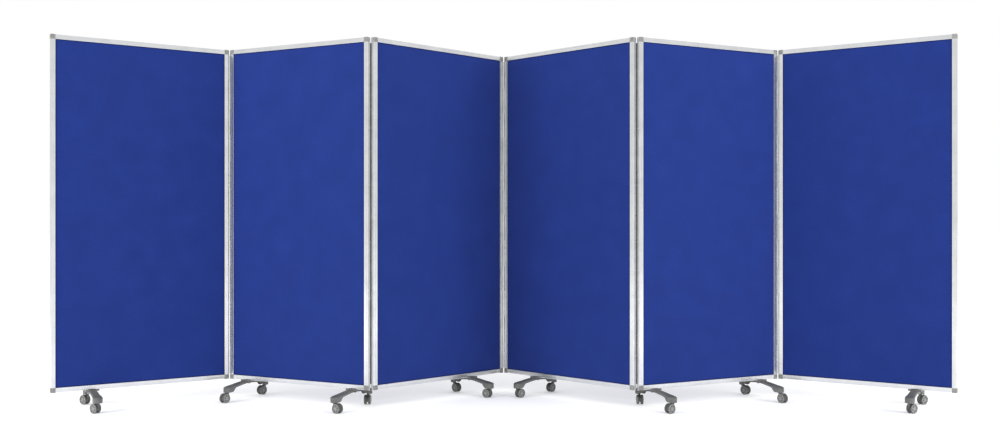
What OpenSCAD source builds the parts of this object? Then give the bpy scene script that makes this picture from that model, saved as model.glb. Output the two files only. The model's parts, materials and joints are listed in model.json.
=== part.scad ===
// Mobile folding partition wall: six felt-covered panels in aluminium frames, joined edge to
// edge by full-height hinges in a zigzag, and carried on eight cross feet with sixteen castors.
// Millimetres. +Z is up, +X runs along the wall, the viewer stands on the -Y side, and the
// origin is on the floor under the middle of the wall. The right half mirrors the left half.

/* [Panels] */
// Width of one panel, from end face to end face
panel_w = 900; // [700:10:1200]
// Height of one panel, without the feet
panel_h = 1800; // [1200:10:2200]
// Thickness of the panel's frame
panel_t = 22; // [20:1:30]
// Height of the panel's underside above the floor
clearance = 100; // [100:1:140]
// Width of the frame's visible face
face_w = 24; // [22:1:30]
// Depth of the felt surface below the frame's face
felt_recess = 2.4; // [2:0.1:4]
// Thickness of each felt covering
felt_t = 2; // [1:0.5:3]

/* [Standing position] */
// Turn of the outer panels from the wall's line, in degrees
outer_turn = 32; // [0:1:60]
// Turn of the second and fifth panels from the wall's line, in degrees
second_turn = 26; // [0:1:60]
// Turn of the two middle panels from the wall's line, in degrees
middle_turn = 43; // [0:1:48]
// Distance of the middle hinge behind the origin
middle_hinge_y = 360.1; // [0:0.1:700]

/* [Hinges] */
// Gap between two panels' end faces when they stand in line
hinge_gap = 4; // [4:0.5:8]
// Distance of the hinge axis outside the frame's face
axis_proud = 2; // [2:0.1:5]
// Radius of the hinge barrel
barrel_r = 3.4; // [3:0.1:4]
// Radius of the hinge pin
pin_r = 1.5; // [1:0.1:1.8]
// Number of knuckles on one hinge
knuckles = 12; // [4:2:24]

/* [Feet] */
// Distance of the outer panel's foot from its free end
outer_foot = 200; // [180:1:260]
// Distance of the second panel's feet from its ends
second_foot = 105; // [90:1:120]
// Distance of the middle panel's foot from the middle hinge
middle_foot = 228; // [210:1:280]
// Distance from the panel to each castor stem
stem_reach = 150; // [130:1:180]
// Width of the foot's arms
arm_w = 38; // [30:1:40]
// Radius of the rounded end of each arm
hub_r = 20; // [18:1:22]

/* [Castors] */
// Radius of the castor wheels
wheel_r = 25; // [20:1:26]
// Width of each of the two wheels
wheel_w = 12; // [8:1:14]
// Distance from the stem to the wheel axle
trail = 19; // [12:1:20]
// Radius of the castor stem
stem_r = 5.5; // [4:0.5:6]
// Headings of the outer foot's castors, front and rear, in degrees from the wall's line
outer_headings = [150, 150]; // [0:1:360]
// Headings of the second panel's castors near the first hinge, front and rear
second_headings = [240, 236]; // [0:1:360]
// Headings of the second panel's castors near the second hinge, front and rear
apex_headings = [325, 268]; // [0:1:360]
// Headings of the middle foot's castors, front and rear
middle_headings = [140, 312]; // [0:1:360]

/* [Hidden] */
$fn = 48;
panel_numbers = [1:6];
base_z = clearance;
top_z = clearance + panel_h;
half_t = panel_t / 2;

// Hair's breadth between two pieces that lie against each other
seam = 0.05;

// Frame section
wall = 2;
corner_r = 5;
edge_r = 1.2;
board_slot = 10;
web_x = face_w - board_slot - wall;
slot_half = half_t - felt_recess + 0.2;
groove_w = 1.4;
groove_d = 0.6;

// Board and its coverings
board_half = half_t - felt_recess;
core_half = board_half - felt_t;
board_edge = face_w - board_slot + 1;
felt_edge = face_w + seam;

// Corner caps
cap_proud = 0.8;
tongue_l = 40;
tongue_play = 0.3;

// Hinges
axis_y = half_t + axis_proud;
leaf_t = 1.5;
leaf_end = 2;
leaf_back = half_t - corner_r;
barrel_play = 0.8;
knuckle_play = 0.3;
pin_play = 0.06;
hinge_inset = 30;
pin_head_r = 2.6;
pin_head_h = 1.2;
knuckle_l = (panel_h - 2 * hinge_inset) / knuckles;

// Feet
pad_l = 64;
pad_h = 4;
arm_top = base_z - pad_h;
arm_t = 12;
arm_flat = 12;
arm_drop = 14;
arm_swell = 4;
arm_steps = 12;
arm_wall = 4;
recess_from = half_t + 15;
recess_to = stem_reach - hub_r - 2;
hub_base = 57.5;
hub_h = 26.5;
hub_slope = 8;
bore_depth = 23;
bolt_r = 3;
bolt_play = 0.1;
bolt_pitch = 40;
bolt_head_r = 5.5;
bolt_head_h = 3;
bolt_l = 30;

// Castors
stem_play = 0.06;
axle_r = 3;
axle_play = 0.06;
web_t = 8;
web_r = 21;
web_cut = 14;
wheel_gap = 1;
collar_r = 9;
collar_h = 3;
collar_gap = 0.3;
wheel_edge = 3;

// The left half's chain of panels, worked out from the middle hinge
turns = [outer_turn, -second_turn, middle_turn];
reach = panel_w + hinge_gap / 2;
function turned(a, v) = [cos(a) * v.x - sin(a) * v.y, sin(a) * v.x + cos(a) * v.y];
middle_axis = [0, middle_hinge_y];
corner_3 = middle_axis - turned(turns[2], [reach, -axis_y]);
second_axis = corner_3 + turned(turns[2], [-hinge_gap / 2, axis_y]);
corner_2 = second_axis - turned(turns[1], [reach, axis_y]);
first_axis = corner_2 + turned(turns[1], [-hinge_gap / 2, -axis_y]);
corner_1 = first_axis - turned(turns[0], [reach, -axis_y]);
corners = [corner_1, corner_2, corner_3];

// Feet of the left half's panels: [distance along the panel, front heading, rear heading]
feet = [
    [[outer_foot, outer_headings]],
    [[second_foot, second_headings], [panel_w - second_foot, apex_headings]],
    [[panel_w - middle_foot, middle_headings]]
];
foot_names = [["end"], ["outer", "inner"], ["middle"]];

// The panel of the left half that panel n is, or mirrors
function twin(n) = n <= 3 ? n : 7 - n;
castors = [
    for (n = panel_numbers) for (f = [0:len(feet[twin(n) - 1]) - 1]) for (s = [-1, 1])
        [n, f, s, str("castor_", n, "_", foot_names[twin(n) - 1][f], s < 0 ? "_front" : "_rear")]
];

// ---- Placing ----

// Puts children, drawn with the panel along +X from its left end, where panel n stands
module on_panel(n) {
    mirror([n > 3 ? 1 : 0, 0, 0])
        translate([corners[twin(n) - 1].x, corners[twin(n) - 1].y, 0])
            rotate([0, 0, turns[twin(n) - 1]])
                children();
}

// Puts children, drawn for an end face that looks along +X, on the panel's left or right end
module at_end(right) {
    translate([right ? panel_w : 0, 0, 0])
        mirror([right ? 0 : 1, 0, 0])
            children();
}

// ---- Frames ----

module rounded_rect(w, h, r) {
    translate([r, 0]) square([w - 2 * r, h]);
    translate([0, r]) square([w, h - 2 * r]);
    for (x = [r, w - r]) for (y = [r, h - r]) translate([x, y]) circle(r);
}

// Section of the frame: x runs from the outer edge inwards, y through the thickness
module frame_section() {
    difference() {
        union() {
            translate([0, -half_t]) rounded_rect(face_w - edge_r, panel_t, corner_r);
            translate([face_w / 2, -half_t]) rounded_rect(face_w / 2, panel_t, edge_r);
        }
        translate([wall, -half_t + wall]) rounded_rect(web_x - wall, panel_t - 2 * wall, corner_r - wall);
        translate([face_w - board_slot, -slot_half]) square([board_slot + 1, 2 * slot_half]);
        for (s = [-1, 1]) translate([face_w / 3, s * half_t]) square([groove_w, 2 * groove_d], center = true);
        square([2 * groove_d, groove_w], center = true);
    }
}

module stile() {
    translate([0, 0, base_z + face_w]) linear_extrude(panel_h - 2 * face_w) frame_section();
}

module rail() {
    translate([face_w, 0, 0])
        rotate([90, 0, 90])
            linear_extrude(panel_w - 2 * face_w)
                rotate([0, 0, 90])
                    mirror([0, 1])
                        frame_section();
}

// Leaf of one hinge: a strip on the end face, with every second knuckle of the barrel
module hinge_leaf(side, first) {
    mirror([0, side < 0 ? 1 : 0, 0]) difference() {
        union() {
            translate([seam, -leaf_back, base_z - leaf_end])
                cube([leaf_t, leaf_back + axis_y - barrel_r - barrel_play, panel_h + leaf_end]);
            for (k = [first:2:knuckles - 1]) {
                translate([0, 0, base_z + hinge_inset + k * knuckle_l + knuckle_play]) {
                    translate([seam, 0, 0]) cube([leaf_t, axis_y, knuckle_l - 2 * knuckle_play]);
                    translate([hinge_gap / 2, axis_y, 0]) cylinder(r = barrel_r, h = knuckle_l - 2 * knuckle_play);
                }
            }
        }
        translate([hinge_gap / 2, axis_y, base_z]) cylinder(r = pin_r + pin_play, h = panel_h);
    }
}

// The hinges on panel m of the left half: [right end?, side of the axis, first knuckle]
function hinges(m, n) =
    m == 1 ? [[true, -1, 0]]
    : m == 2 ? [[false, -1, 1], [true, 1, 0]]
    : [[false, 1, 1], [true, -1, n > 3 ? 1 : 0]];

module panel_frame(n) {
    m = twin(n);
    color("gainsboro") on_panel(n) {
        stile();
        translate([panel_w, 0, 0]) mirror([1, 0, 0]) stile();
        translate([0, 0, top_z]) mirror([0, 0, 1]) rail();
        difference() {
            translate([0, 0, base_z]) rail();
            for (f = feet[m - 1]) translate([f[0], 0, base_z - 1]) bolt_holes();
        }
        for (h = hinges(m, n)) at_end(h[0]) hinge_leaf(h[1], h[2]);
    }
}

// ---- Boards ----

// An upright sheet whose rim lies the given distance inside the panel's outline
module sheet_of(rim, y_low, y_high) {
    translate([rim, y_low, base_z + rim])
        cube([panel_w - 2 * rim, y_high - y_low, panel_h - 2 * rim]);
}

module panel_board(n) {
    on_panel(n) {
        color("burlywood") sheet_of(board_edge, -core_half, core_half);
        color("mediumblue") {
            sheet_of(felt_edge, -board_half, -core_half - seam);
            sheet_of(felt_edge, core_half + seam, board_half);
        }
    }
}

// ---- Corner caps ----

// One cap at the lower left corner, with a tongue up the stile and one along the rail, and a
// pocket for the corner of the board
module corner_cap(proud) {
    tongue_x = web_x - wall - 2 * tongue_play;
    tongue_y = panel_t - 2 * wall - 2 * tongue_play;
    block_t = panel_t + 2 * cap_proud;
    translate([0, 0, base_z]) {
        difference() {
            translate([-proud, block_t / 2, -cap_proud]) rotate([90, 0, 0]) linear_extrude(block_t) {
                translate([corner_r, 0]) square([face_w + proud - corner_r, face_w + cap_proud]);
                translate([0, corner_r]) square([face_w + proud, face_w + cap_proud - corner_r]);
                translate([corner_r, corner_r]) circle(corner_r);
            }
            for (s = [-1, 1]) cap_bevel(s, proud);
            translate([face_w - board_slot, -slot_half, face_w - board_slot])
                cube([board_slot + 1, 2 * slot_half, board_slot + 1]);
        }
        translate([wall + tongue_play, -tongue_y / 2, face_w])
            linear_extrude(tongue_l) rounded_rect(tongue_x, tongue_y, corner_r - wall);
        translate([face_w, -tongue_y / 2, wall + tongue_play])
            rotate([90, 0, 90])
                linear_extrude(tongue_l) rounded_rect(tongue_y, tongue_x, corner_r - wall);
    }
}

// Slanting cuts that soften the long edges of a cap's outer sides
module cap_bevel(s, proud) {
    cut = 5;
    y = s * (half_t + cap_proud);
    translate([-proud, y, -cap_proud]) rotate([0, 0, 45])
        cube([cut, cut, 2 * (face_w + cap_proud)], center = true);
    translate([-proud, y, -cap_proud]) rotate([45, 0, 0])
        cube([2 * (face_w + proud) + 2, cut, cut], center = true);
}

module panel_corner_caps(n) {
    m = twin(n);
    color("darkgray") on_panel(n) for (right = [false, true]) {
        proud = m == 1 && !right ? cap_proud : 0;
        at_end(right) mirror([1, 0, 0]) {
            corner_cap(proud);
            translate([0, 0, base_z + top_z]) mirror([0, 0, 1]) corner_cap(proud);
        }
    }
}

// ---- Feet ----

function arm_slope(y) = pow(max(0, abs(y) - arm_flat) / (stem_reach - arm_flat), 1.3);
arm_ys = [for (i = [-arm_steps:arm_steps]) stem_reach * i / arm_steps];
// Outline of both arms, as a share of their thickness below the top line
function arm_line(depth) = [
    for (y = arm_ys) [y, arm_top - arm_drop * arm_slope(y) - depth * (arm_t + arm_swell * arm_slope(y))]
];

module arms(w, from, to) {
    rotate([90, 0, 90])
        translate([0, 0, -w / 2])
            linear_extrude(w)
                polygon(concat(arm_line(from), [for (i = [len(arm_ys) - 1:-1:0]) arm_line(to)[i]]));
}

module hub() {
    cylinder(r = hub_r, h = hub_h - hub_slope);
    translate([0, 0, hub_h - hub_slope]) cylinder(r1 = hub_r, r2 = hub_r - hub_slope, h = hub_slope);
}

module bolt_holes() {
    for (s = [-1, 1])
        translate([s * bolt_pitch / 2, 0, 0]) cylinder(r = bolt_r + bolt_play, h = 2 * wall);
}

module foot_casting() {
    difference() {
        union() {
            arms(arm_w, 0, 1);
            for (s = [-1, 1]) translate([0, s * stem_reach, hub_base]) hub();
            translate([-pad_l / 2, -half_t + 1, arm_top - arm_t]) cube([pad_l, panel_t - 2, arm_t + pad_h]);
        }
        for (s = [-1, 1]) {
            translate([0, s * stem_reach, hub_base - 1]) cylinder(r = stem_r + stem_play, h = bore_depth + 1);
            arm_recess(s);
            translate([s * bolt_pitch / 2, 0, base_z - 2 * panel_t]) cylinder(r = bolt_r + bolt_play, h = 3 * panel_t);
        }
    }
}

// Hollow underside of one arm, which leaves side walls and a top skin
module arm_recess(s) {
    intersection() {
        arms(arm_w - 2 * arm_wall, 0.4, 1.2);
        translate([-arm_w / 2, s > 0 ? recess_from : -recess_to, 0])
            cube([arm_w, recess_to - recess_from, base_z]);
    }
}

module foot_bolts() {
    for (s = [-1, 1])
        translate([s * bolt_pitch / 2, 0, arm_top - arm_t - bolt_head_h - seam]) {
            cylinder(r = bolt_head_r, h = bolt_head_h);
            cylinder(r = bolt_r, h = bolt_l);
        }
}

module panel_feet(n) {
    on_panel(n) for (f = feet[twin(n) - 1]) translate([f[0], 0, 0]) {
        color("gray") foot_casting();
        color("silver") foot_bolts();
    }
}

// ---- Hinge pins ----

module hinge_pin(right, side) {
    length = knuckles * knuckle_l;
    at_end(right) translate([hinge_gap / 2, side * axis_y, base_z + hinge_inset]) {
        cylinder(r = pin_r, h = length);
        for (z = [-pin_head_h, length]) translate([0, 0, z]) cylinder(r = pin_head_r, h = pin_head_h);
    }
}

module hinge_pins(n) {
    color("dimgray") on_panel(n) {
        hinge_pin(false, -1);
        hinge_pin(true, 1);
    }
}

module middle_hinge_pin() {
    color("dimgray") on_panel(3) hinge_pin(true, -1);
}

// ---- Castors ----

// Puts children, drawn with the stem on the Z axis and the trail along +X, at castor c
module at_castor(c) {
    m = twin(c[0]);
    foot = feet[m - 1][c[1]];
    heading = foot[1][c[2] < 0 ? 0 : 1];
    on_panel(c[0])
        translate([foot[0], c[2] * stem_reach, 0])
            rotate([0, 0, heading - turns[m - 1]])
                children();
}

// Outline of the web between the wheels, seen from the side: a disc round the axle and a neck to
// the collar, open below at the front and back of the axle
module web_outline() {
    difference() {
        union() {
            translate([trail, wheel_r]) circle(web_r);
            translate([-collar_r, wheel_r]) square([trail + collar_r, hub_base - collar_gap - collar_h - wheel_r]);
        }
        translate([trail, wheel_r]) circle(axle_r + axle_play);
        translate([-wheel_r, 0]) square([3 * wheel_r, web_cut]);
    }
}

module castor_housing(c) {
    collar_top = hub_base - collar_gap;
    color("slategray") at_castor(c) {
        translate([0, web_t / 2, 0]) rotate([90, 0, 0]) linear_extrude(web_t) web_outline();
        cylinder_at(collar_r, collar_top - collar_h - 1, collar_top);
        cylinder_at(stem_r, collar_top - 1, hub_base + bore_depth - 1);
    }
}

module cylinder_at(r, z_low, z_high) {
    translate([0, 0, z_low]) cylinder(r = r, h = z_high - z_low);
}

// One wheel, from its inner face outwards, with a sloping edge on both sides of the tread
module wheel() {
    cylinder(r1 = wheel_r - wheel_edge, r2 = wheel_r, h = wheel_edge);
    translate([0, 0, wheel_edge]) cylinder(r = wheel_r, h = wheel_w - 2 * wheel_edge);
    translate([0, 0, wheel_w - wheel_edge]) cylinder(r1 = wheel_r, r2 = wheel_r - wheel_edge, h = wheel_edge);
}

module castor_wheels(c) {
    color("darkslategray") at_castor(c) translate([trail, 0, wheel_r]) {
        for (turn = [90, -90]) rotate([turn, 0, 0]) translate([0, 0, web_t / 2 + wheel_gap]) wheel();
        rotate([90, 0, 0]) cylinder(r = axle_r, h = web_t + 2 * (wheel_gap - seam), center = true);
    }
}

// ---- Nodes ----

for (n = panel_numbers) {
    panel_frame(n);
    panel_board(n);
    panel_corner_caps(n);
    panel_feet(n);
}
hinge_pins(2);  // hinge_pins_left
middle_hinge_pin();  // hinge_pin_middle
hinge_pins(5);  // hinge_pins_right
for (c = castors) {
    castor_housing(c);
    castor_wheels(c);
}
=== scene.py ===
"""Looks of the folding partition wall: felt coverings, anodised frames, moulded feet and castors.

Everything is in metres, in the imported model's frame: +X along the wall, -Y towards the viewer,
+Z up, with the floor at z = 0. Each panel's own axes are worked out from its packed board.
"""

import json
import math

import bmesh
import bpy
import numpy as np
from mathutils import Matrix, Vector


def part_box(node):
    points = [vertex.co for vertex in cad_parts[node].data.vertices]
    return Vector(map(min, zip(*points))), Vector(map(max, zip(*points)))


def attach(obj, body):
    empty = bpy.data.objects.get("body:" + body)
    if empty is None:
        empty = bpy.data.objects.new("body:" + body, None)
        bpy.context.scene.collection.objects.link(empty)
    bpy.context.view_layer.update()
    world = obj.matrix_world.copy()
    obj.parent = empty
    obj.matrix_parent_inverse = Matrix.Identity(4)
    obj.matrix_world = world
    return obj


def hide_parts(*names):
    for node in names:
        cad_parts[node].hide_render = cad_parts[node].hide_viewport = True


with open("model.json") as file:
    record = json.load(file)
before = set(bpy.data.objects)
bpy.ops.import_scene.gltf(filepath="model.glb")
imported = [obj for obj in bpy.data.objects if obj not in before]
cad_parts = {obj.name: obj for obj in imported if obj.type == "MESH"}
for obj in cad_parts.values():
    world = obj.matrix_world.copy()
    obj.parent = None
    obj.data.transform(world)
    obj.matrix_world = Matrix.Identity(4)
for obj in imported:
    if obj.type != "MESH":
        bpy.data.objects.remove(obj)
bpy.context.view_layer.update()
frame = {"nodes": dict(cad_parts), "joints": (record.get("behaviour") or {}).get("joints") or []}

# ---- Driving sizes, in metres ----
PANELS = range(1, 7)
FACE_W = 0.024  # visible width of the frame
FELT_FACE = 0.0086  # felt surface, from the panel's middle plane
FELT_T = 0.002  # thickness of a felt covering
FELT_STEP = 0.015  # spacing of the felt's grid
LIP_DIP = 0.0007  # how far the frame's lip presses the felt in
LIP_REACH = 0.007  # how far from the lip that can be seen
LEAF_T = 0.00155  # outer face of a hinge leaf, from the panel's end face
HINGE_SEAM = 0.00002  # anything farther out than this is hinge
BARREL_FROM = 0.0092  # inner limit of a hinge's barrel, from the panel's middle plane
BOARD_RIM = 0.015  # from the panel's outline to the board's
HIDDEN = FACE_W - BOARD_RIM  # width of felt under the frame's lip
EDGE_SHADE = 0.007  # width of the felt's rim that is darkened as painted shade beside the frame's lip
SCREW_R = 0.0034
SCREW_PITCH = 0.29
SCREWS = 6
CAP_PROUD = 0.0008  # how far the corner caps stand out below and above the rails

# Feet
REACH = 0.150  # from the panel to a castor's stem
ARM_TOP = 0.096
ARM_FLAT = 0.012
ARM_DROP = 0.014
ARM_T = 0.012
ARM_SWELL = 0.004
ARM_HALF_W = 0.019
ARM_WALL = 0.004
HOOD_R = 0.0225  # rounded end of an arm
HOOD_Y = 0.148
HOOD_FROM, HOOD_TO = 0.100, 0.134  # where an arm deepens into its end
HOOD_LOW = 0.0535
HOOD_FILLET = 0.009
SOCKET_R = 0.0150
SOCKET_LOW = 0.0575
SOCKET_H = 0.014
PAD_HALF_L = 0.032
PAD_HALF_W = 0.010
PAD_SUNK = 0.004  # how deep the pad reaches into the arms
BOLT_PITCH = 0.040
BOLT_HEAD_R = 0.0055

# Castors
STEM_R = 0.0055
STEM_TOP = 0.0795
COLLAR_R = 0.009
COLLAR_LOW, COLLAR_TOP = 0.0532, 0.0572
WEB_R = 0.021
WEB_HALF_T = 0.004
WEB_CUT = 0.014  # height below which the web is cut away
WHEEL_R = 0.025
WHEEL_IN = 0.005  # inner and outer face of a wheel, from the castor's middle
WHEEL_OUT = 0.017
AXLE_R = 0.003

JOINTS = {j["name"]: j for j in frame["joints"]}


# ---- Small helpers ----
class Axes:
    """A panel's own axes: point(x, y, z) with x along the panel from its middle, y to its back."""

    def __init__(self, number):
        mesh = frame["nodes"][f"panel_{number}_board"].data
        plan = np.unique(np.round([v.co[:2] for v in mesh.vertices], 6), axis=0)
        self.middle = plan.mean(axis=0)
        along = np.linalg.eigh(np.cov((plan - self.middle).T))[1][:, 1]
        self.along = along if along[0] > 0 else -along
        self.back = np.array([-self.along[1], self.along[0]])
        low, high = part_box(f"panel_{number}_corner_caps")
        self.low, self.high = low.z, high.z
        self.half_board = max(abs((np.array(v.co[:2]) - self.middle) @ self.along) for v in mesh.vertices)
        self.half_w = self.half_board + BOARD_RIM
        board_low, board_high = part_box(f"panel_{number}_board")
        self.board_low, self.board_high = board_low.z, board_high.z
        self.angle = math.atan2(self.along[1], self.along[0])

    def point(self, x, y, z):
        spot = self.middle + x * self.along + y * self.back
        return Vector((spot[0], spot[1], z))

    def matrix(self, x, y, z):
        return Matrix.Translation(self.point(x, y, z)) @ Matrix.Rotation(self.angle, 4, "Z")


AXES = {n: Axes(n) for n in PANELS}


def add_mesh(name, bm, material, smooth_deg=40):
    mesh = bpy.data.meshes.new(name)
    bm.to_mesh(mesh)
    bm.free()
    mesh.materials.append(material)
    mesh.polygons.foreach_set("use_smooth", [True] * len(mesh.polygons))
    mesh.set_sharp_from_angle(angle=math.radians(smooth_deg))
    piece = bpy.data.objects.new(name, mesh)
    bpy.context.scene.collection.objects.link(piece)
    return piece


def lathe(profile, segments):
    """Mesh of a closed outline of (radius, height) points turned about Z."""
    bm = bmesh.new()
    rings = []
    for i in range(segments):
        turn = 2 * math.pi * i / segments
        rings.append([bm.verts.new((r * math.cos(turn), r * math.sin(turn), h)) for r, h in profile])
    for i in range(segments):
        here, after = rings[i], rings[(i + 1) % segments]
        for k in range(len(profile)):
            m = (k + 1) % len(profile)
            corners = [here[k], after[k], after[m], here[m]]
            if len({tuple(round(c, 7) for c in v.co) for v in corners}) > 2:
                bm.faces.new(corners)
    bmesh.ops.remove_doubles(bm, verts=bm.verts, dist=1e-6)
    bmesh.ops.recalc_face_normals(bm, faces=bm.faces)
    return bm


# ---- Materials ----
def new_material(name):
    material = bpy.data.materials.new(name)
    material.use_nodes = True
    tree = material.node_tree
    shader = tree.nodes["Principled BSDF"]
    coords = tree.nodes.new("ShaderNodeTexCoord").outputs["Object"]
    return material, tree, shader, coords


def mapping(tree, coords, scale, rotation=(0, 0, 0)):
    node = tree.nodes.new("ShaderNodeMapping")
    node.inputs["Scale"].default_value = scale
    node.inputs["Rotation"].default_value = rotation
    tree.links.new(coords, node.inputs["Vector"])
    return node.outputs["Vector"]


def noise(tree, vector, scale, detail=4.0, rough=0.55, distortion=0.0):
    node = tree.nodes.new("ShaderNodeTexNoise")
    node.inputs["Scale"].default_value = scale
    node.inputs["Detail"].default_value = detail
    node.inputs["Roughness"].default_value = rough
    node.inputs["Distortion"].default_value = distortion
    tree.links.new(vector, node.inputs["Vector"])
    return node.outputs["Fac"]


def ramp(tree, fac, stops):
    node = tree.nodes.new("ShaderNodeValToRGB")
    band = node.color_ramp
    while len(band.elements) < len(stops):
        band.elements.new(0.5)
    for element, (at, colour) in zip(band.elements, stops):
        element.position = at
        element.color = (*colour, 1.0)
    tree.links.new(fac, node.inputs["Fac"])
    return node.outputs["Color"]


def span(tree, fac, low, high):
    """fac, from 0 to 1, taken to the range low to high."""
    node = tree.nodes.new("ShaderNodeMapRange")
    node.inputs["To Min"].default_value = low
    node.inputs["To Max"].default_value = high
    tree.links.new(fac, node.inputs["Value"])
    return node.outputs["Result"]


def math_node(tree, operation, a, b):
    node = tree.nodes.new("ShaderNodeMath")
    node.operation = operation
    for socket, value in zip(node.inputs, (a, b)):
        if isinstance(value, (int, float)):
            socket.default_value = value
        else:
            tree.links.new(value, socket)
    return node.outputs["Value"]


def blend(tree, first, share, second, second_share):
    """first times share, plus second times second_share."""
    return math_node(
        tree,
        "ADD",
        math_node(tree, "MULTIPLY", first, share),
        math_node(tree, "MULTIPLY", second, second_share),
    )


def bump(tree, shader, height, distance, strength=1.0):
    node = tree.nodes.new("ShaderNodeBump")
    node.inputs["Distance"].default_value = distance
    node.inputs["Strength"].default_value = strength
    tree.links.new(height, node.inputs["Height"])
    tree.links.new(node.outputs["Normal"], shader.inputs["Normal"])


def felt_material():
    """Needled felt: short tangled fibres, a faint mottle, a soft sheen, and a rim darkened as painted shade
    beside the frame's lip.
    """
    material, tree, shader, coords = new_material("royal_blue_felt")
    mottle = noise(tree, coords, 9.0, 3.0)
    fibres = noise(tree, mapping(tree, coords, (1, 1, 0.45)), 900.0, 5.0, 0.7, 1.5)
    tufts = noise(tree, coords, 260.0, 4.0, 0.65)
    mixed = blend(tree, mottle, 0.25, tufts, 0.75)
    colour = ramp(
        tree,
        mixed,
        [(0.30, (0.0066, 0.0190, 0.122)), (0.52, (0.0090, 0.0250, 0.160)), (0.72, (0.0135, 0.0350, 0.205))],
    )
    # painted shade: the 'edge' attribute marks the felt's rim beside the frame's lip, which is multiplied
    # darker and bluer
    edge = tree.nodes.new("ShaderNodeAttribute")
    edge.attribute_name = "edge"
    shade = tree.nodes.new("ShaderNodeMix")
    shade.data_type = "RGBA"
    shade.blend_type = "MULTIPLY"
    shade.inputs["B"].default_value = (0.30, 0.30, 0.40, 1.0)
    tree.links.new(edge.outputs["Fac"], shade.inputs["Factor"])
    tree.links.new(colour, shade.inputs["A"])
    tree.links.new(shade.outputs["Result"], shader.inputs["Base Color"])
    tree.links.new(span(tree, fibres, 0.82, 1.0), shader.inputs["Roughness"])
    shader.inputs["Specular IOR Level"].default_value = 0.18
    shader.inputs["Sheen Weight"].default_value = 0.12
    shader.inputs["Sheen Roughness"].default_value = 0.55
    shader.inputs["Sheen Tint"].default_value = (0.35, 0.42, 0.85, 1.0)
    height = math_node(tree, "ADD", math_node(tree, "MULTIPLY", fibres, 0.6), tufts)
    bump(tree, shader, height, 0.0006, 0.8)
    return material


def aluminium_material():
    """Clear-anodised extrusion: fine die lines along each length, handling marks, cloudy gloss."""
    material, tree, shader, coords = new_material("anodised_aluminium")
    upright = noise(tree, mapping(tree, coords, (1, 1, 0.004)), 900.0, 3.0, 0.6)
    level = noise(tree, mapping(tree, coords, (0.004, 0.004, 1)), 900.0, 3.0, 0.6)
    split = tree.nodes.new("ShaderNodeSeparateXYZ")
    tree.links.new(coords, split.inputs["Vector"])
    low_rail = math_node(tree, "LESS_THAN", split.outputs["Z"], AXES[1].low + FACE_W)
    high_rail = math_node(tree, "GREATER_THAN", split.outputs["Z"], AXES[1].high - FACE_W)
    rails = math_node(tree, "ADD", low_rail, high_rail)
    lines = tree.nodes.new("ShaderNodeMix")
    lines.data_type = "FLOAT"
    tree.links.new(rails, lines.inputs["Factor"])
    tree.links.new(upright, lines.inputs["A"])
    tree.links.new(level, lines.inputs["B"])
    lines = lines.outputs["Result"]
    clouds = noise(tree, coords, 14.0, 4.0)
    scuffs = noise(tree, mapping(tree, coords, (1, 1, 0.15), (0.3, 0.2, 0)), 55.0, 6.0, 0.75)
    tone = blend(tree, lines, 0.6, clouds, 0.4)
    colour = ramp(
        tree,
        tone,
        [(0.30, (0.56, 0.57, 0.58)), (0.52, (0.68, 0.69, 0.70)), (0.74, (0.78, 0.785, 0.79))],
    )
    tree.links.new(colour, shader.inputs["Base Color"])
    shader.inputs["Metallic"].default_value = 1.0
    gloss = blend(tree, scuffs, 0.25, lines, 0.2)
    tree.links.new(span(tree, gloss, 0.16, 0.50), shader.inputs["Roughness"])
    shader.inputs["Coat Weight"].default_value = 0.12
    shader.inputs["Coat Roughness"].default_value = 0.25
    bump(tree, shader, lines, 0.00012, 0.6)
    return material


def plastic_material(name, dark, mid, light, grain=700.0, rough=(0.38, 0.62), speckle=60.0):
    """Moulded plastic: fine spark-eroded grain, faint flow clouds, paler where it is rubbed."""
    material, tree, shader, coords = new_material(name)
    clouds = noise(tree, coords, speckle, 5.0, 0.6)
    skin = noise(tree, coords, grain, 3.0, 0.6)
    tone = blend(tree, clouds, 0.7, skin, 0.3)
    base = ramp(tree, tone, [(0.32, dark), (0.52, mid), (0.70, light)])
    edges = tree.nodes.new("ShaderNodeNewGeometry").outputs["Pointiness"]
    rubbed = ramp(tree, edges, [(0.50, (0.0, 0.0, 0.0)), (0.58, (0.45, 0.45, 0.45))])
    overlay_mix = tree.nodes.new("ShaderNodeMix")
    overlay_mix.data_type = "RGBA"
    overlay_mix.inputs["B"].default_value = (*[min(1.0, 1.35 * c) for c in light], 1.0)
    tree.links.new(rubbed, overlay_mix.inputs["Factor"])
    tree.links.new(base, overlay_mix.inputs["A"])
    tree.links.new(overlay_mix.outputs["Result"], shader.inputs["Base Color"])
    tree.links.new(span(tree, skin, *rough), shader.inputs["Roughness"])
    shader.inputs["Specular IOR Level"].default_value = 0.45
    bump(tree, shader, skin, 0.00015, 0.7)
    return material


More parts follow.
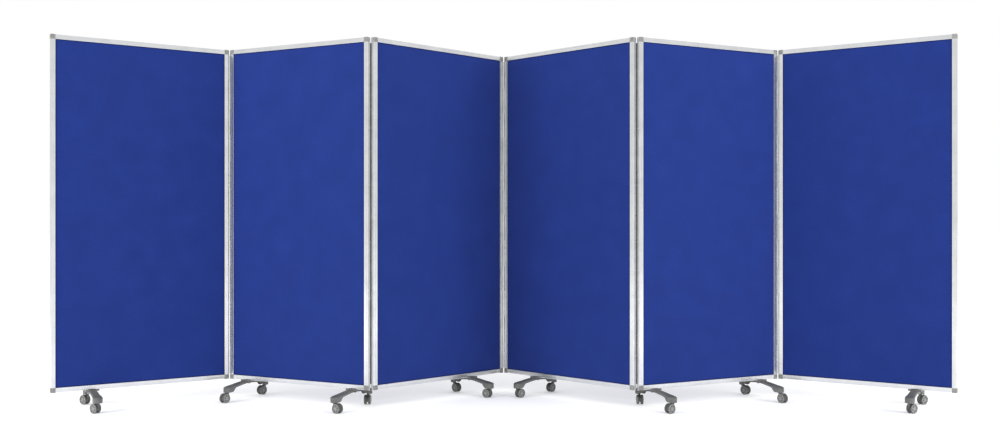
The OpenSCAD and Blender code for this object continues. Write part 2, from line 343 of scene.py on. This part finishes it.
def wheel_material():
    """Grey wheel plastic whose tread is darker and scuffed where it has rolled, and whose inner faces and
    pocket floors are darkened as painted shade.
    """
    dark, mid, light = (0.17, 0.17, 0.163), (0.225, 0.225, 0.216), (0.31, 0.31, 0.30)
    material = plastic_material("wheel_plastic", dark, mid, light)
    tree = material.node_tree
    shader = tree.nodes["Principled BSDF"]
    base = shader.inputs["Base Color"].links[0].from_socket
    # near-black overlay: real dirt on the rolled tread, painted shade on the wheels' inner faces beside the
    # web and in the pockets
    tread = tree.nodes.new("ShaderNodeAttribute")
    tread.attribute_name = "tread"
    coords = tree.nodes.new("ShaderNodeTexCoord").outputs["Object"]
    scuffs = noise(tree, coords, 260.0, 5.0, 0.7)
    share = math_node(tree, "MULTIPLY", tread.outputs["Fac"], span(tree, scuffs, 0.55, 1.0))
    overlay_mix = tree.nodes.new("ShaderNodeMix")
    overlay_mix.data_type = "RGBA"
    overlay_mix.inputs["B"].default_value = (0.040, 0.040, 0.038, 1.0)
    tree.links.new(share, overlay_mix.inputs["Factor"])
    tree.links.new(base, overlay_mix.inputs["A"])
    tree.links.new(overlay_mix.outputs["Result"], shader.inputs["Base Color"])
    return material


def steel_material(name, dark, light, rough):
    """Plated steel: drawing lines, and the bloom of its zinc."""
    material, tree, shader, coords = new_material(name)
    drawn = noise(tree, mapping(tree, coords, (1, 1, 0.05)), 1200.0, 3.0)
    bloom = noise(tree, coords, 120.0, 4.0)
    tree.links.new(ramp(tree, bloom, [(0.35, dark), (0.6, light)]), shader.inputs["Base Color"])
    shader.inputs["Metallic"].default_value = 1.0
    tree.links.new(span(tree, drawn, *rough), shader.inputs["Roughness"])
    bump(tree, shader, drawn, 0.00006, 0.5)
    return material


FELT = felt_material()
ALUMINIUM = aluminium_material()
CAPS = plastic_material("cap_plastic", (0.13, 0.132, 0.127), (0.175, 0.177, 0.17), (0.235, 0.237, 0.228))
FEET = plastic_material("foot_plastic", (0.070, 0.071, 0.067), (0.095, 0.096, 0.091), (0.145, 0.147, 0.14))
HOUSING = plastic_material(
    "housing_plastic", (0.045, 0.045, 0.043), (0.065, 0.065, 0.062), (0.095, 0.095, 0.09)
)
WHEELS = wheel_material()
STEEL = steel_material("plated_steel", (0.42, 0.42, 0.43), (0.58, 0.58, 0.60), (0.22, 0.50))
# Two copies of the hinge barrels' steel: one darkened as painted shade for the barrels behind, one
# brightened as painted light for those in front
SHADED_BARREL = steel_material("barrel_steel_painted_shade", (0.10, 0.10, 0.10), (0.17, 0.17, 0.17), (0.30, 0.55))
BARREL = steel_material("barrel_steel", (0.76, 0.765, 0.77), (0.86, 0.865, 0.87), (0.15, 0.35))


# ---- Felt coverings ----
def felt_lines(half, lip, step):
    """Grid lines from -half to half, close together beside the frame's lip."""
    near = [lip + d for d in (0.0, 0.0015, 0.0035, 0.007)]
    inner = max(near)
    count = max(2, round(2 * (half - inner) / step))
    middle = [(half - inner) * (2 * i / count - 1) for i in range(count + 1)]
    outer = [half - d for d in near]
    return sorted({round(v, 6) for v in [-half, half, *middle, *outer, *[-v for v in outer]]})


def felt_height(x, z, half_x, half_z, seed):
    """How far the felt stands out from its flat plane: a faint waviness, pressed in at the lip."""
    gap = min(half_x - abs(x), half_z - abs(z)) - HIDDEN
    pressed = LIP_DIP * max(0.0, 1 - max(0.0, gap) / LIP_REACH) ** 2
    wave = 0.00012 * math.sin(7.1 * x + 3.3 * z + seed) + 0.0001 * math.sin(11.7 * z - 5.2 * x + 2 * seed)
    quilt = 0.00005 * math.sin(31.0 * x + seed) * math.sin(23.0 * z - seed)
    return wave + quilt - pressed


def felt_sheet(number, side):
    """One covering as a closed thin sheet: side -1 is the front, +1 the back."""
    axes = AXES[number]
    half_x = axes.half_board
    half_z = (axes.board_high - axes.board_low) / 2
    mid_z = (axes.board_high + axes.board_low) / 2
    xs = felt_lines(half_x, HIDDEN, FELT_STEP)
    zs = felt_lines(half_z, HIDDEN, FELT_STEP)
    seed = 1.7 * number + (0.9 if side > 0 else 0.0)
    bm = bmesh.new()
    edge = bm.verts.layers.float.new("edge")
    faces = []
    for layer in (0, 1):
        rows = []
        for z in zs:
            row = []
            for x in xs:
                lift = felt_height(x, z, half_x, half_z, seed)
                out = FELT_FACE + lift if layer == 0 else FELT_FACE - FELT_T
                vert = bm.verts.new(axes.point(x, side * out, mid_z + z))
                gap = min(half_x - abs(x), half_z - abs(z)) - HIDDEN
                # painted shade: 1 under and at the frame's lip, fading to 0 across EDGE_SHADE inward; the
                # inner layer gets none
                vert[edge] = max(0.0, min(1.0, 1 - gap / EDGE_SHADE)) if layer == 0 else 0.0
                row.append(vert)
            rows.append(row)
        faces.append(rows)
    for rows, flip in zip(faces, (side > 0, side < 0)):
        for j in range(len(zs) - 1):
            for i in range(len(xs) - 1):
                quad = [rows[j][i], rows[j][i + 1], rows[j + 1][i + 1], rows[j + 1][i]]
                bm.faces.new(quad[::-1] if flip else quad)
    outer, inner = faces
    last_x, last_z = len(xs) - 1, len(zs) - 1
    rim = [(0, i) for i in range(last_x + 1)] + [(j, last_x) for j in range(1, last_z + 1)]
    rim += [(last_z, i) for i in range(last_x - 1, -1, -1)] + [(j, 0) for j in range(last_z - 1, 0, -1)]
    for k, (j, i) in enumerate(rim):
        m, n = rim[(k + 1) % len(rim)]
        bm.faces.new([outer[j][i], outer[m][n], inner[m][n], inner[j][i]])
    bmesh.ops.recalc_face_normals(bm, faces=bm.faces)
    name = f"panel_{number}_{'front' if side < 0 else 'back'}_felt"
    piece = add_mesh(name, bm, FELT)
    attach(piece, f"panel_{number}")
    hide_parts(f"panel_{number}_board")
    return piece


for panel in PANELS:
    for face in (-1, 1):
        felt_sheet(panel, face)


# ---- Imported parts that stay: softened edges and materials ----
def finish_node(name, material, edge=0.0, segments=2):
    node = frame["nodes"][name]
    node.data.materials.clear()
    node.data.materials.append(material)
    if edge:
        weld = node.modifiers.new("weld", "WELD")
        weld.merge_threshold = 1e-5
        soft = node.modifiers.new("soft_edges", "BEVEL")
        soft.width = edge
        soft.segments = segments
        soft.limit_method = "ANGLE"
        soft.angle_limit = math.radians(30)


def finish_frame(number):
    """Aluminium, apart from the hinges' barrels, which are steel: a copy darkened as painted shade for the
    ones behind, a copy brightened as painted light for the ones in front.
    """
    name = f"panel_{number}_frame"
    finish_node(name, ALUMINIUM)
    mesh = frame["nodes"][name].data
    mesh.materials.append(SHADED_BARREL)
    mesh.materials.append(BARREL)
    axes = AXES[number]
    for face in mesh.polygons:
        away = np.array(face.center[:2]) - axes.middle
        barrel = abs(away @ axes.along) > axes.half_w + HINGE_SEAM and abs(away @ axes.back) > BARREL_FROM
        if barrel:
            # painted shade on the barrels behind the middle plane, painted light on those in front
            face.material_index = 1 if away @ axes.back > 0 else 2


for panel in PANELS:
    finish_frame(panel)
    finish_node(f"panel_{panel}_corner_caps", CAPS, 0.0012, 3)
for pins in ("hinge_pins_left", "hinge_pin_middle", "hinge_pins_right"):
    finish_node(pins, STEEL)


# ---- Feet ----
def smooth(t):
    t = max(0.0, min(1.0, t))
    return t * t * (3 - 2 * t)


def foot_section(y):
    """One cross-section of a foot's arms: a channel, open below, with rounded upper corners."""
    away = abs(y)
    slope = (max(0.0, away - ARM_FLAT) / (REACH - ARM_FLAT)) ** 1.3
    top = ARM_TOP - ARM_DROP * slope
    deep = smooth((away - HOOD_FROM) / (HOOD_TO - HOOD_FROM))
    under = top - (ARM_T + ARM_SWELL * slope)
    under += (HOOD_LOW - under) * deep
    half = ARM_HALF_W + (HOOD_R - ARM_HALF_W) * deep
    if away > HOOD_Y:
        half = math.sqrt(max(HOOD_R**2 - (away - HOOD_Y) ** 2, 1e-7))
    tip = max(0.0, (away - (HOOD_Y + HOOD_R - HOOD_FILLET)) / HOOD_FILLET)
    top -= HOOD_FILLET * (1 - math.sqrt(max(0.0, 1 - tip * tip)))
    hollow = 0.007 * smooth((away - 0.026) / 0.01) * (away < HOOD_Y + HOOD_R - ARM_WALL)
    corner = min(0.005, 0.7 * half, 0.4 * (top - under))
    inner = max(half - ARM_WALL, 0.4 * half)
    if away > HOOD_Y:
        inner = math.sqrt(max((HOOD_R - ARM_WALL) ** 2 - (away - HOOD_Y) ** 2, (0.4 * half) ** 2))
    chamfer = min(0.001, 0.2 * half)
    right = [(half - chamfer, under), (half, under + chamfer)]
    for i in range(6):
        turn = math.radians(18 * i)
        right.append((half - corner * (1 - math.cos(turn)), top - corner * (1 - math.sin(turn))))
    crown = [((half - corner) * k, top + 0.0007 * (1 - k * k)) for k in (0.6, 0.2, -0.2, -0.6)]
    left = [(-x, z) for x, z in reversed(right)]
    roof = under + hollow
    below = [(-inner, under), (-inner + chamfer, roof), (inner - chamfer, roof), (inner, under)]
    return [(x, y, z) for x, z in right + crown + left + below]


def foot_arms(bm):
    end = HOOD_Y + HOOD_R - 1e-5
    half = [0.0, ARM_FLAT, 0.02, 0.026, 0.029, 0.033, 0.038, *np.linspace(0.045, HOOD_Y, 26)]
    half += [HOOD_Y + (end - HOOD_Y) * math.sin(math.radians(90 * i / 14)) for i in range(1, 15)]
    stations = [-y for y in reversed(half[1:])] + half
    rings = [[bm.verts.new(spot) for spot in foot_section(y)] for y in stations]
    for here, after in zip(rings, rings[1:]):
        for i in range(len(here)):
            j = (i + 1) % len(here)
            bm.faces.new([here[i], here[j], after[j], after[i]])
    bm.faces.new(rings[0])
    bm.faces.new(rings[-1][::-1])


def join(bm, part):
    """Adds the mesh part to bm, and frees it."""
    scratch = bpy.data.meshes.new("scratch")
    part.to_mesh(scratch)
    part.free()
    bm.from_mesh(scratch)
    bpy.data.meshes.remove(scratch)


def add_turned(bm, profile, matrix, segments=32):
    """Adds a turned piece, whose axis is the matrix's Z, to bm."""
    part = lathe(profile, segments)
    part.transform(matrix)
    join(bm, part)


def add_block(bm, size, matrix, edge):
    """Adds a box of that size, with its edges rounded, about the matrix's origin."""
    part = bmesh.new()
    bmesh.ops.create_cube(part, size=1.0)
    bmesh.ops.scale(part, vec=size, verts=part.verts)
    bmesh.ops.bevel(part, geom=part.edges[:], offset=edge, segments=2, affect="EDGES", profile=0.5)
    part.transform(matrix)
    join(bm, part)


def foot(bm):
    """A moulded cross foot with its stem sockets and pad, about the point on the floor under it."""
    foot_arms(bm)
    bore = STEM_R + 0.0003
    lip = 0.0012
    top = SOCKET_LOW + SOCKET_H
    socket = [
        (bore + lip / 2, SOCKET_LOW),
        (SOCKET_R - lip, SOCKET_LOW),
        (SOCKET_R, SOCKET_LOW + lip),
        (SOCKET_R + 0.001, top),
        (bore, top),
        (bore, SOCKET_LOW + lip / 2),
    ]
    for side in (-1, 1):
        add_turned(bm, socket, Matrix.Translation((0, side * REACH, 0)), 40)
    pad_top = AXES[1].low + CAP_PROUD
    pad_h = pad_top - ARM_TOP + PAD_SUNK
    spot = Matrix.Translation((0, 0, pad_top - pad_h / 2))
    add_block(bm, (2 * PAD_HALF_L, 2 * PAD_HALF_W, pad_h), spot, 0.0012)


def foot_bolts(bm):
    """Heads of the two bolts, with round recesses, below the foot's middle."""
    low = ARM_TOP - ARM_T
    head = [
        (0.0, low - 0.0012),
        (0.0022, low - 0.0012),
        (0.0024, low - 0.0028),
        (BOLT_HEAD_R - 0.0006, low - 0.0028),
        (BOLT_HEAD_R, low - 0.0022),
        (BOLT_HEAD_R, low),
        (0.0, low),
    ]
    washer = [(0.0, low - 0.0001), (0.0078, low - 0.0001), (0.0078, low + 0.0009), (0.0, low + 0.0009)]
    for side in (-1, 1):
        spot = Matrix.Translation((side * BOLT_PITCH / 2, 0, 0))
        add_turned(bm, head, spot, 24)
        add_turned(bm, washer, spot, 24)


def foot_places(number):
    """Where each foot of a panel stands, worked out from its castors' swivel axes."""
    start = f"castor_{number}_"
    stems = {n: j["pos_m"] for n, j in JOINTS.items() if n.startswith(start) and n.endswith("_swivel")}
    for front in sorted(n for n in stems if "_front_" in n):
        rear = front.replace("_front_", "_rear_")
        middle = (np.array(stems[front][:2]) + np.array(stems[rear][:2])) / 2
        yield Matrix.Translation((*middle, 0)) @ Matrix.Rotation(AXES[number].angle, 4, "Z")


def put_feet(number):
    for label, shape, material, slot in (
        ("castings", foot, FEET, "feet"),
        ("foot_bolts", foot_bolts, STEEL, "pins"),
    ):
        bm = bmesh.new()
        for place in foot_places(number):
            one = bmesh.new()
            shape(one)
            bmesh.ops.recalc_face_normals(one, faces=one.faces)
            one.transform(place)
            join(bm, one)
        piece = add_mesh(f"panel_{number}_{label}", bm, material)
        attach(piece, f"panel_{number}")
        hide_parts(f"panel_{number}_feet")


# ---- Castors ----
def web_outline():
    """Side view of the plate between the wheels, from the lower front round over the neck."""
    dip = math.degrees(math.asin((WHEEL_R - WEB_CUT) / WEB_R))
    disc = [
        (TRAIL + WEB_R * math.cos(math.radians(a)), WHEEL_R + WEB_R * math.sin(math.radians(a)))
        for a in np.linspace(-dip, 62, 16)
    ]
    shoulder = [(0.0205, 0.0478), (0.0150, 0.0512), (0.0100, 0.0530), (0.0080, COLLAR_LOW + 0.0006)]
    back = [(-0.0080, COLLAR_LOW + 0.0006), (-0.0086, 0.0480), (-0.0084, 0.0400), (-0.0068, 0.0320)]
    cheek = [
        (TRAIL + WEB_R * math.cos(math.radians(a)), WHEEL_R + WEB_R * math.sin(math.radians(a)))
        for a in np.linspace(186, 180 + dip, 5)
    ]
    return disc + shoulder + back + cheek


def castor_body(bm):
    outline = web_outline()
    middle = np.mean(outline, axis=0)
    edge = 0.0010
    layers = [(-WEB_HALF_T, 0.955), (-WEB_HALF_T + edge, 1.0), (WEB_HALF_T - edge, 1.0), (WEB_HALF_T, 0.955)]
    rings = []
    for y, scale in layers:
        spots = [middle + scale * (np.array(spot) - middle) for spot in outline]
        rings.append([bm.verts.new((x, y, z)) for x, z in spots])
    for here, after in zip(rings, rings[1:]):
        for i in range(len(here)):
            j = (i + 1) % len(here)
            bm.faces.new([here[i], here[j], after[j], after[i]])
    bm.faces.new(rings[0][::-1])
    bm.faces.new(rings[-1])
    collar = [
        (0.0, COLLAR_LOW - 0.0060),
        (0.0050, COLLAR_LOW - 0.0060),
        (0.0060, COLLAR_LOW - 0.0030),
        (0.0078, COLLAR_LOW - 0.0006),
        (COLLAR_R - 0.0005, COLLAR_LOW),
        (COLLAR_R, COLLAR_LOW + 0.0006),
        (COLLAR_R, COLLAR_TOP - 0.0006),
        (COLLAR_R - 0.0006, COLLAR_TOP),
        (0.0, COLLAR_TOP),
    ]
    add_turned(bm, collar, Matrix.Identity(4), 40)


def castor_stem(bm):
    profile = [
        (0.0, COLLAR_TOP - 0.002),
        (STEM_R, COLLAR_TOP - 0.002),
        (STEM_R, STEM_TOP - 0.006),
        (STEM_R - 0.0008, STEM_TOP - 0.0054),
        (STEM_R - 0.0008, STEM_TOP - 0.0042),
        (STEM_R, STEM_TOP - 0.0036),
        (STEM_R, STEM_TOP - 0.0012),
        (STEM_R - 0.0012, STEM_TOP),
        (0.0, STEM_TOP),
    ]
    add_turned(bm, profile, Matrix.Identity(4), 32)


WHEEL_PROFILE = [
    (0.0, WHEEL_IN),
    (0.0205, WHEEL_IN),
    (0.0224, WHEEL_IN + 0.0004),
    (0.0240, WHEEL_IN + 0.0015),
    (0.0248, WHEEL_IN + 0.0030),
    (WHEEL_R, WHEEL_IN + 0.0042),
    (WHEEL_R - 0.0005, WHEEL_IN + 0.0045),
    (WHEEL_R - 0.0005, WHEEL_IN + 0.0051),
    (WHEEL_R, WHEEL_IN + 0.0054),
    (WHEEL_R, WHEEL_IN + 0.0068),
    (WHEEL_R - 0.0005, WHEEL_IN + 0.0071),
    (WHEEL_R - 0.0005, WHEEL_IN + 0.0077),
    (WHEEL_R, WHEEL_IN + 0.0080),
    (0.0247, WHEEL_IN + 0.0092),
    (0.0239, WHEEL_IN + 0.0106),
    (0.0226, WHEEL_IN + 0.0116),
    (0.0214, WHEEL_OUT),
    (0.0206, WHEEL_OUT - 0.0003),
    (0.0202, WHEEL_OUT - 0.0018),
    (0.0196, WHEEL_OUT - 0.0021),
    (0.0092, WHEEL_OUT - 0.0017),
    (0.0084, WHEEL_OUT - 0.0008),
    (0.0076, WHEEL_OUT - 0.0001),
    (0.0064, WHEEL_OUT),
    (0.0044, WHEEL_OUT - 0.0001),
    (0.0040, WHEEL_OUT - 0.0009),
    (0.0, WHEEL_OUT - 0.0011),
]
RIBS = 6
POCKET = (0.0092, 0.0196)  # radii of the ring of pockets in a wheel's outer face


def castor_wheel(bm, side):
    """One wheel, about the axle along Z: a rounded tread with two grooves, and a ribbed disc."""
    flip = Matrix.Diagonal((1, 1, side, 1))
    add_turned(bm, WHEEL_PROFILE, flip, 56)
    rib_from, rib_to = 0.0080, 0.0204
    rib_h = 0.0016
    for i in range(RIBS):
        turn = Matrix.Rotation(2 * math.pi * (i + 0.25) / RIBS, 4, "Z")
        lift = Matrix.Translation(((rib_from + rib_to) / 2, 0, WHEEL_OUT - 0.0005 - rib_h / 2))
        add_block(bm, (rib_to - rib_from, 0.0022, rib_h), flip @ turn @ lift, 0.0003)


def put_castor(castor):
    swivel, roll = JOINTS[f"{castor}_swivel"], JOINTS[f"{castor}_roll"]
    stem, axle = Vector(swivel["pos_m"]), Vector(roll["pos_m"])
    heading = math.atan2(axle.y - stem.y, axle.x - stem.x)
    at_stem = Matrix.Translation((stem.x, stem.y, 0)) @ Matrix.Rotation(heading, 4, "Z")
    for label, shape, material, slot in (
        ("body", castor_body, HOUSING, "castor_housing"),
        ("stem", castor_stem, STEEL, "pins"),
    ):
        bm = bmesh.new()
        shape(bm)
        bmesh.ops.recalc_face_normals(bm, faces=bm.faces)
        bm.transform(at_stem)
        piece = add_mesh(f"{castor}_{label}", bm, material)
        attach(piece, castor)
        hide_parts(f"{castor}_housing")
    bm = bmesh.new()
    for side in (-1, 1):
        castor_wheel(bm, side)
    pin = [(0.0, -WHEEL_IN), (AXLE_R, -WHEEL_IN), (AXLE_R, WHEEL_IN), (0.0, WHEEL_IN)]
    add_turned(bm, pin, Matrix.Identity(4), 24)
    bmesh.ops.recalc_face_normals(bm, faces=bm.faces)
    tread = bm.verts.layers.float.new("tread")
    # mask: 1 on the rolled tread (dirt) and on the inner faces between the wheels (painted shade), 0.8 on
    # the pocket floors (painted shade)
    for vert in bm.verts:
        away = math.hypot(vert.co.x, vert.co.y)
        inner_face = away > AXLE_R and abs(vert.co.z) < WHEEL_IN + 0.0010
        pocket = min(abs(away - r) for r in POCKET) < 1e-5
        vert[tread] = 1.0 if away > 0.0230 or inner_face else 0.8 * pocket
    at_axle = Matrix.Translation((TRAIL, 0, WHEEL_R)) @ Matrix.Rotation(math.radians(-90), 4, "X")
    bm.transform(at_stem @ at_axle)
    piece = add_mesh(f"{castor}_twin_wheels", bm, WHEELS)
    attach(piece, f"{castor}_wheels")
    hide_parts(f"{castor}_wheels")


def trail_of(castor):
    stem, axle = JOINTS[f"{castor}_swivel"]["pos_m"], JOINTS[f"{castor}_roll"]["pos_m"]
    return math.dist(stem[:2], axle[:2])


CASTORS = sorted(name[: -len("_swivel")] for name in JOINTS if name.endswith("_swivel"))
TRAIL = trail_of(CASTORS[0])  # from the stem to the axle

for panel in PANELS:
    put_feet(panel)
for castor_name in CASTORS:
    put_castor(castor_name)


# ---- Screws of the hinge leaves ----
def screw(bm, matrix):
    """Head of a countersunk screw, just proud of the leaf, with a round recess."""
    proud = 0.00025
    head = [
        (0.0, -0.0008),
        (0.0012, 0.0),
        (0.0012, proud),
        (SCREW_R - 0.0004, proud),
        (SCREW_R, -0.0002),
        (0.0, -0.0010),
    ]
    add_turned(bm, head, matrix, 20)


def put_screws(number):
    axes = AXES[number]
    ends = [e for e in (-1, 1) if not (number == 1 and e < 0) and not (number == 6 and e > 0)]
    middle = (axes.low + axes.high) / 2
    bm = bmesh.new()
    for end in ends:
        for i in range(SCREWS):
            z = middle + (i - (SCREWS - 1) / 2) * SCREW_PITCH
            turn = Matrix.Rotation(math.radians(90 * end), 4, "Y")
            screw(bm, axes.matrix(end * (axes.half_w + LEAF_T), 0.0005, z) @ turn)
    piece = add_mesh(f"panel_{number}_hinge_screws", bm, STEEL)
    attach(piece, f"panel_{number}")


for panel in PANELS:
    put_screws(panel)


# ---- Room and camera ----
def studio():
    """A seamless white floor, as pale as the white sky over it."""
    floor_bm = bmesh.new()
    bmesh.ops.create_grid(floor_bm, x_segments=1, y_segments=1, size=80.0)
    material, tree, shader, coords = new_material("studio_floor")
    tone = noise(tree, coords, 2.0, 2.0)
    colour = ramp(tree, tone, [(0.3, (0.88, 0.88, 0.88)), (0.7, (0.90, 0.90, 0.90))])
    tree.links.new(colour, shader.inputs["Base Color"])
    shader.inputs["Roughness"].default_value = 0.9
    shader.inputs["Specular IOR Level"].default_value = 0.0
    shader.inputs["Emission Color"].default_value = (1.0, 1.0, 1.0, 1.0)
    shader.inputs["Emission Strength"].default_value = 0.20
    floor = add_mesh("studio_floor", floor_bm, material)
    world = bpy.data.worlds.new("studio")
    world.use_nodes = True
    sky = world.node_tree.nodes["Background"]
    sky.inputs["Color"].default_value = (1.0, 1.0, 1.0, 1.0)
    sky.inputs["Strength"].default_value = 1.0
    bpy.context.scene.world = world


def softbox(name, place, target, size, power):
    light = bpy.data.lights.new(name, "AREA")
    light.shape = "RECTANGLE"
    light.size, light.size_y = size
    light.energy = power
    lamp = bpy.data.objects.new(name, light)
    lamp.location = place
    lamp.rotation_euler = (Vector(target) - Vector(place)).to_track_quat("-Z", "Y").to_euler()
    lamp.visible_glossy = False
    bpy.context.scene.collection.objects.link(lamp)


CAMERA_DISTANCE = 5.705  # from the middle hinge to the camera, along Y
EYE_HEIGHT = 0.942
FOCAL = 36.0


def camera():
    data = bpy.data.cameras.new("camera")
    data.sensor_width = 36.0
    data.lens = FOCAL
    data.shift_x = -0.0037
    data.shift_y = 0.011
    cam = bpy.data.objects.new("camera", data)
    hinge_y = JOINTS["fold_3"]["pos_m"][1]
    cam.location = (0.0, hinge_y - CAMERA_DISTANCE, EYE_HEIGHT)
    cam.rotation_euler = (math.radians(90), 0, 0)
    bpy.context.scene.collection.objects.link(cam)
    bpy.context.scene.camera = cam


studio()
softbox("left", (-5.2, -3.2, 2.0), (-0.4, 0, 0.9), (2.6, 2.6), 190)
softbox("right", (5.2, -3.2, 2.0), (0.4, 0, 0.9), (2.6, 2.6), 190)
softbox("front", (0, -4.6, 4.8), (0, 0, 0.9), (4.0, 1.6), 40)
camera()
bpy.context.scene.view_settings.view_transform = "Standard"
